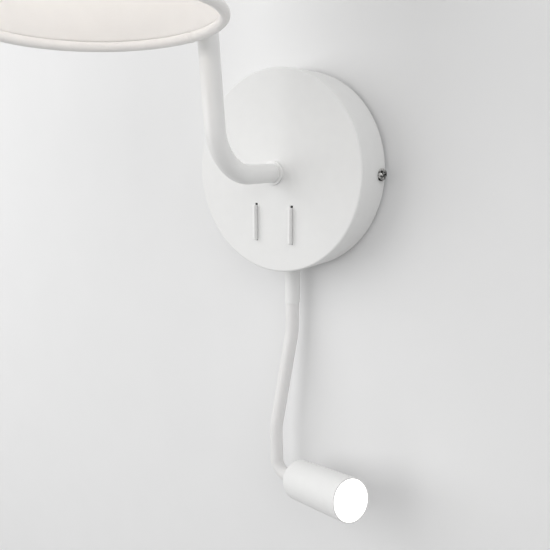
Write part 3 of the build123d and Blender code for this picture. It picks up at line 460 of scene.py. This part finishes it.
# ---------------------------------------------------------------- tubes swept by a rule
def swept_tube_tree():
    """Rounds a line's corners by their own bends, cuts out a stretch and sweeps a round section along it."""
    tree = bpy.data.node_groups.new("swept_tube", "GeometryNodeTree")
    sockets = tree.interface
    sockets.new_socket("Geometry", in_out="INPUT", socket_type="NodeSocketGeometry")
    for name in ("Radius", "Start", "End", "Step"):
        sockets.new_socket(name, in_out="INPUT", socket_type="NodeSocketFloat")
    sockets.new_socket("Sides", in_out="INPUT", socket_type="NodeSocketInt")
    sockets.new_socket("Finish", in_out="INPUT", socket_type="NodeSocketMaterial")
    sockets.new_socket("Geometry", in_out="OUTPUT", socket_type="NodeSocketGeometry")
    given = add_node(tree, "NodeGroupInput")
    line = add_node(tree, "GeometryNodeMeshToCurve", {"Mesh": given.outputs["Geometry"]})
    bend = add_node(tree, "GeometryNodeInputNamedAttribute", {"Name": "bend"}, data_type="FLOAT")
    rounded = add_node(
        tree,
        "GeometryNodeFilletCurve",
        {
            "Curve": line.outputs["Curve"],
            "Count": BEND_STEPS,
            "Radius": bend.outputs["Attribute"],
            "Limit Radius": False,
        },
        mode="POLY",
    )
    cut = add_node(
        tree,
        "GeometryNodeTrimCurve",
        {"Curve": rounded.outputs["Curve"], 4: given.outputs["Start"], 5: given.outputs["End"]},
        mode="LENGTH",
    )
    even = add_node(
        tree,
        "GeometryNodeResampleCurve",
        {"Curve": cut.outputs["Curve"], "Length": given.outputs["Step"]},
        mode="LENGTH",
    )
    section = add_node(
        tree,
        "GeometryNodeCurvePrimitiveCircle",
        {"Resolution": given.outputs["Sides"], "Radius": given.outputs["Radius"]},
    )
    skin = add_node(
        tree,
        "GeometryNodeCurveToMesh",
        {"Curve": even.outputs["Curve"], "Profile Curve": section.outputs["Curve"], "Fill Caps": False},
    )
    smooth = add_node(tree, "GeometryNodeSetShadeSmooth", {"Geometry": skin.outputs["Mesh"]})
    real = add_node(tree, "GeometryNodeRealizeInstances", {"Geometry": smooth.outputs["Geometry"]})
    done = add_node(
        tree,
        "GeometryNodeSetMaterial",
        {"Geometry": real.outputs["Geometry"], "Material": given.outputs["Finish"]},
    )
    end = add_node(tree, "NodeGroupOutput")
    tree.links.new(done.outputs["Geometry"], end.inputs["Geometry"])
    return tree


TUBE_TREE = swept_tube_tree()


def object_of(name, mesh):
    """A new object of a mesh, in the scene."""
    made = bpy.data.objects.new(name, mesh)
    bpy.context.scene.collection.objects.link(made)
    return made


def as_plain_mesh(source, name):
    """The evaluated shape of an object as a new plain object; the source goes."""
    depsgraph = bpy.context.evaluated_depsgraph_get()
    mesh = bpy.data.meshes.new_from_object(source.evaluated_get(depsgraph))
    bpy.data.objects.remove(source)
    mesh.name = name
    mesh.set_sharp_from_angle(angle=SHARP_EDGE)
    return object_of(name, mesh)


def swept_tube(name, corners, bends, start, end, radius, wall, finish, step=1.0 * MM, sides=48):
    """A hollow round tube along a line of corners, from one length to another along it."""
    line = bpy.data.meshes.new(name + "_line")
    line.from_pydata(corners, [(i, i + 1) for i in range(len(corners) - 1)], [])
    bend = line.attributes.new("bend", "FLOAT", "POINT")
    bend.data.foreach_set("value", [0.0, *bends, 0.0])
    source = object_of(name + "_line", line)
    swept = source.modifiers.new("sweep", "NODES")
    swept.node_group = TUBE_TREE
    values = {"Radius": radius, "Start": start, "End": end, "Step": step, "Sides": sides, "Finish": finish}
    for item in TUBE_TREE.interface.items_tree:
        if item.in_out == "INPUT" and item.name in values:
            swept[item.identifier] = values[item.name]
    inner = source.modifiers.new("wall", "SOLIDIFY")
    inner.thickness = wall
    inner.offset = -1.0
    return as_plain_mesh(source, name)


# ---------------------------------------------------------------- arm
arm_corners = [OUT * out * MM + ARM_UP * rise * MM for out, rise in ARM_CORNERS]
arm_bends = [ARM_BEND] * (len(arm_corners) - 2)
# the arm ends where its line ends, well within one metre
arm = swept_tube(
    "arm_tube_skin", arm_corners, arm_bends, 0.0, 1.0, ARM_RADIUS, ARM_WALL, FINISHES["arm_enamel"]
)
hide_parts("arm_tube")
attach(arm, "arm")
nodes["arm_collar"].data.materials[0] = FINISHES["arm_enamel"]

# ---------------------------------------------------------------- neck
neck_corners = [NECK_START + Vector(step) * MM for step in NECK_CORNERS]
neck_bends = [bend * MM for bend in NECK_BENDS]
neck_nodes = ["neck_root", *[f"neck_segment_{number}" for number in range(1, 7)], "neck_end"]


def along_neck(length):
    """The point and direction of the neck's rounded centre line at a length in millimetres."""
    rest = length * MM
    at = neck_corners[0].copy()
    heading = (neck_corners[1] - neck_corners[0]).normalized()
    for i in range(1, len(neck_corners) - 1):
        to = (neck_corners[i + 1] - neck_corners[i]).normalized()
        turn = heading.angle(to)
        radius = neck_bends[i - 1]
        tangent = radius * sin(turn / 2) / cos(turn / 2)
        straight = (neck_corners[i] - at).length - tangent
        if rest <= straight:
            return at + heading * rest, heading
        rest -= straight
        at = at + heading * straight
        if rest <= radius * turn:
            inward = (to - heading * heading.dot(to)).normalized()
            angle = rest / radius
            point = at + heading * radius * sin(angle) + inward * radius * (1 - cos(angle))
            return point, heading * cos(angle) + inward * sin(angle)
        rest -= radius * turn
        at = neck_corners[i] + to * tangent
        heading = to
    return at + heading * rest, heading


# one sleeve a hinge, each reaching half way to the next hinge
joins = [0.0]
for (first, _), (second, _) in zip(NECK_HINGES, NECK_HINGES[1:]):
    joins.append((first + second) / 2)
joins.append(NECK_LENGTH)
for number, (hinge, reach) in enumerate(NECK_HINGES):
    sleeve = swept_tube(
        f"neck_sleeve_{number + 1}",
        neck_corners,
        neck_bends,
        joins[number] * MM,
        joins[number + 1] * MM,
        NECK_RADIUS,
        SLEEVE_WALL,
        FINISHES["neck_sleeve"],
        SLEEVE_STEP,
    )
    covers = neck_nodes[:2] if number == 0 else neck_nodes[number + 1:number + 2]
    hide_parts(*covers)
    point, heading = along_neck(hinge)
    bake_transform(sleeve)


# ---------------------------------------------------------------- shade
def wall_radius(height, offset):
    """The radius of the shade's wall at a height above its foot, moved outwards by an offset."""
    share = (height - HEM_RADIUS) / (SHADE_HEIGHT - 2 * HEM_RADIUS)
    return SHADE_BOTTOM_RADIUS + share * (SHADE_TOP_RADIUS - SHADE_BOTTOM_RADIUS) + offset


def wall_line(low, high, offset):
    """Points up the shade's wall in the section plane, from a low to a high edge."""
    heights = [low + (high - low) * row / WALL_ROWS for row in range(WALL_ROWS + 1)]
    return [(wall_radius(height, offset), height) for height in heights]


def arc(centre, radius, first, last):
    """Points of an arc in the section plane, from one angle to another in degrees."""
    angles = [radians(first + (last - first) * i / ROLL_STEPS) for i in range(ROLL_STEPS + 1)]
    return [(centre[0] + radius * cos(a), centre[1] + radius * sin(a)) for a in angles]


def steps_of(line):
    """The lengths of a line's straight pieces."""
    return [sqrt((b[0] - a[0]) ** 2 + (b[1] - a[1]) ** 2) for a, b in zip(line, line[1:])]


def revolve_sheet(name, line, thickness, finish, push):
    """A closed sheet of the given thickness, turned round the shade's axis.

    push gives how far it stands outwards at an angle and a share of the line's length.
    """
    tangents = []
    for i in range(len(line)):
        before, after = line[max(i - 1, 0)], line[min(i + 1, len(line) - 1)]
        run = sqrt((after[0] - before[0]) ** 2 + (after[1] - before[1]) ** 2)
        tangents.append(((after[0] - before[0]) / run, (after[1] - before[1]) / run))
    lengths = [0.0]
    for step in steps_of(line):
        lengths.append(lengths[-1] + step)
    half = thickness / 2
    outer = [(p[0] + t[1] * half, p[1] - t[0] * half) for p, t in zip(line, tangents)]
    inner = [(p[0] - t[1] * half, p[1] + t[0] * half) for p, t in zip(line, tangents)]
    section = outer + inner[::-1]
    along = lengths + lengths[::-1]
    back = Vector((0, 1, 0))
    points = []
    for k in range(SHADE_SIDES):
        angle = 2 * pi * k / SHADE_SIDES
        outward = ARM_SIDE * cos(angle) + back * sin(angle)
        for (radius, height), length in zip(section, along):
            extra = push(angle, length / lengths[-1])
            points.append(SHADE_FOOT + outward * (radius + extra) + ARM_UP * height)
    count = len(section)
    faces = []
    for k in range(SHADE_SIDES):
        for i in range(count):
            here, there = k * count, (k + 1) % SHADE_SIDES * count
            following = (i + 1) % count
            faces.append((here + i, there + i, there + following, here + following))
    mesh = bpy.data.meshes.new(name)
    mesh.from_pydata(points, [], faces)
    uv = mesh.uv_layers.new(name="UVMap")
    round_length = 2 * pi * SHADE_BOTTOM_RADIUS
    for face, polygon in zip(faces, mesh.polygons):
        k = face[0] // count
        for loop, vertex in zip(polygon.loop_indices, face):
            turn = vertex // count
            turn = SHADE_SIDES if turn == 0 and k == SHADE_SIDES - 1 else turn
            uv.data[loop].uv = (round_length * turn / SHADE_SIDES, along[vertex % count])
    mesh.materials.append(finish)
    mesh.shade_smooth()
    return object_of(name, mesh)


def smooth_share(value):
    """A share from 0 to 1 that eases in and out."""
    value = max(0.0, min(1.0, value))
    return value * value * (3 - 2 * value)


def wall_slack(angle, share):
    """A trace of slackness, most at mid height."""
    return SLACK * sin(3 * angle + 0.6) * sin(pi * share)


def cloth_push(angle, share):
    """The cloth's own unevenness: a lapped side seam, slackness, and puckers and a lap where it rolls."""
    from_seam = abs((angle - SEAM_ANGLE + pi) % (2 * pi) - pi)
    seam = SEAM_STEP * smooth_share((SEAM_WIDTH / 2 - from_seam) / SEAM_EDGE)
    roll = smooth_share((ROLL_SHARE - share) / ROLL_EASE) + smooth_share((share - 1 + ROLL_SHARE) / ROLL_EASE)
    pucker = sin(61 * angle + 0.4) * (0.6 + 0.4 * sin(17 * angle)) + 0.6 * sin(97 * angle + 2.0)
    lap = LAP_DEPTH * sin(8 * (angle - SEAM_ANGLE) / SEAM_WIDTH) * smooth_share(1 - from_seam / SEAM_WIDTH)
    return seam + wall_slack(angle, share) + (PUCKER_DEPTH * pucker + lap) * roll


roll_middle = HEM_RADIUS - CLOTH_THICKNESS / 2
top_middle = SHADE_HEIGHT - HEM_RADIUS
cloth_line = [
    *arc((SHADE_BOTTOM_RADIUS, HEM_RADIUS), roll_middle, *BOTTOM_ROLL),
    *wall_line(HEM_RADIUS + roll_middle + ROLL_GAP, top_middle - roll_middle - ROLL_GAP, CLOTH_THICKNESS / 2),
    *arc((SHADE_TOP_RADIUS, top_middle), roll_middle, *TOP_ROLL),
]
cloth = revolve_sheet("shade_cloth_cover", cloth_line, CLOTH_THICKNESS, FINISHES["shade_cloth"], cloth_push)
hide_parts("shade_fabric", "shade_bottom_hem", "shade_top_hem")
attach(cloth, "arm")

lining_line = wall_line(HEM_RADIUS + LINING_INSET, top_middle - LINING_INSET, -LINING_THICKNESS / 2)
lining = revolve_sheet(
    "shade_lining_sheet", lining_line, LINING_THICKNESS, FINISHES["shade_backing"], wall_slack
)
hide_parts("shade_lining")
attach(lining, "arm")


# ---------------------------------------------------------------- stage and light
WALL_REACH = 1.6
WALL_PLACE = 0.4 * MM
FLOOR_HEIGHT = -0.75
FLOOR_FRONT = -3.0
# the wall is open behind the canopy, as a wall box would be, so that views from behind look into the canopy
HOLE_RADIUS = 58 * MM
HOLE_SIDES = 64
WORLD_STRENGTH = 0.52


def stage_paint(name, light, dark):
    """Matt emulsion; its back is see-through so that views from behind show the lamp."""
    material, tree, shader = new_material(name, Roughness=0.9)
    place = add_node(tree, "ShaderNodeTexCoord").outputs["Object"]
    mottled_colour(tree, shader, place, light, dark, 60 * MM)
    grain_relief(tree, shader, place, 3 * MM, 0.05 * MM, 0.3)
    side = add_node(tree, "ShaderNodeNewGeometry").outputs["Backfacing"]
    clear = add_node(tree, "ShaderNodeBsdfTransparent")
    faces = {0: side, 1: shader.outputs["BSDF"], 2: clear.outputs["BSDF"]}
    mixed = add_node(tree, "ShaderNodeMixShader", faces)
    tree.links.new(mixed.outputs["Shader"], tree.nodes["Material Output"].inputs["Surface"])
    return material


def stage_sheet(name, points, faces, material):
    """A flat piece of the stage."""
    mesh = bpy.data.meshes.new(name)
    mesh.from_pydata(points, [], faces)
    mesh.materials.append(material)
    object_of(name, mesh)


hole, rim, wall_faces = [], [], []
for step in range(HOLE_SIDES):
    angle = 2 * pi * step / HOLE_SIDES
    across, rise = cos(angle), sin(angle)
    reach = WALL_REACH / max(abs(across), abs(rise))
    hole.append((HOLE_RADIUS * across, WALL_PLACE, HOLE_RADIUS * rise))
    rim.append((reach * across, WALL_PLACE, max(FLOOR_HEIGHT, reach * rise)))
    following = (step + 1) % HOLE_SIDES
    wall_faces.append((step, HOLE_SIDES + step, HOLE_SIDES + following, following))
stage_sheet("wall", hole + rim, wall_faces, stage_paint("wall_emulsion", "#ECECEC", "#E9E9E9"))
floor_points = [
    (-WALL_REACH, FLOOR_FRONT, FLOOR_HEIGHT),
    (WALL_REACH, FLOOR_FRONT, FLOOR_HEIGHT),
    (WALL_REACH, WALL_PLACE, FLOOR_HEIGHT),
    (-WALL_REACH, WALL_PLACE, FLOOR_HEIGHT),
]
stage_sheet("floor", floor_points, [(0, 1, 2, 3)], stage_paint("floor_paint", "#BEBEBE", "#BABABA"))


def soft_light(name, place, target, width, power):
    """A square soft light that shines from a place to a target, its width in metres and power in watts."""
    data = bpy.data.lights.new(name, "AREA")
    data.size = width
    data.energy = power
    light = bpy.data.objects.new(name, data)
    light.location = place
    light.rotation_euler = (Vector(target) - Vector(place)).to_track_quat("-Z", "Y").to_euler()
    bpy.context.scene.collection.objects.link(light)


soft_light("key", place=(-0.98, -1.15, 0.36), target=(0, 0, -0.05), width=1.7, power=16)
soft_light("right", place=(0.85, -0.75, 0.7), target=(0.1, 0, 0.1), width=1.0, power=4.5)

world = bpy.data.worlds.new("world")
bpy.context.scene.world = world
world.use_nodes = True
world.node_tree.nodes["Background"].inputs["Color"].default_value = hex_colour("#F6F6F6")
world.node_tree.nodes["Background"].inputs["Strength"].default_value = WORLD_STRENGTH
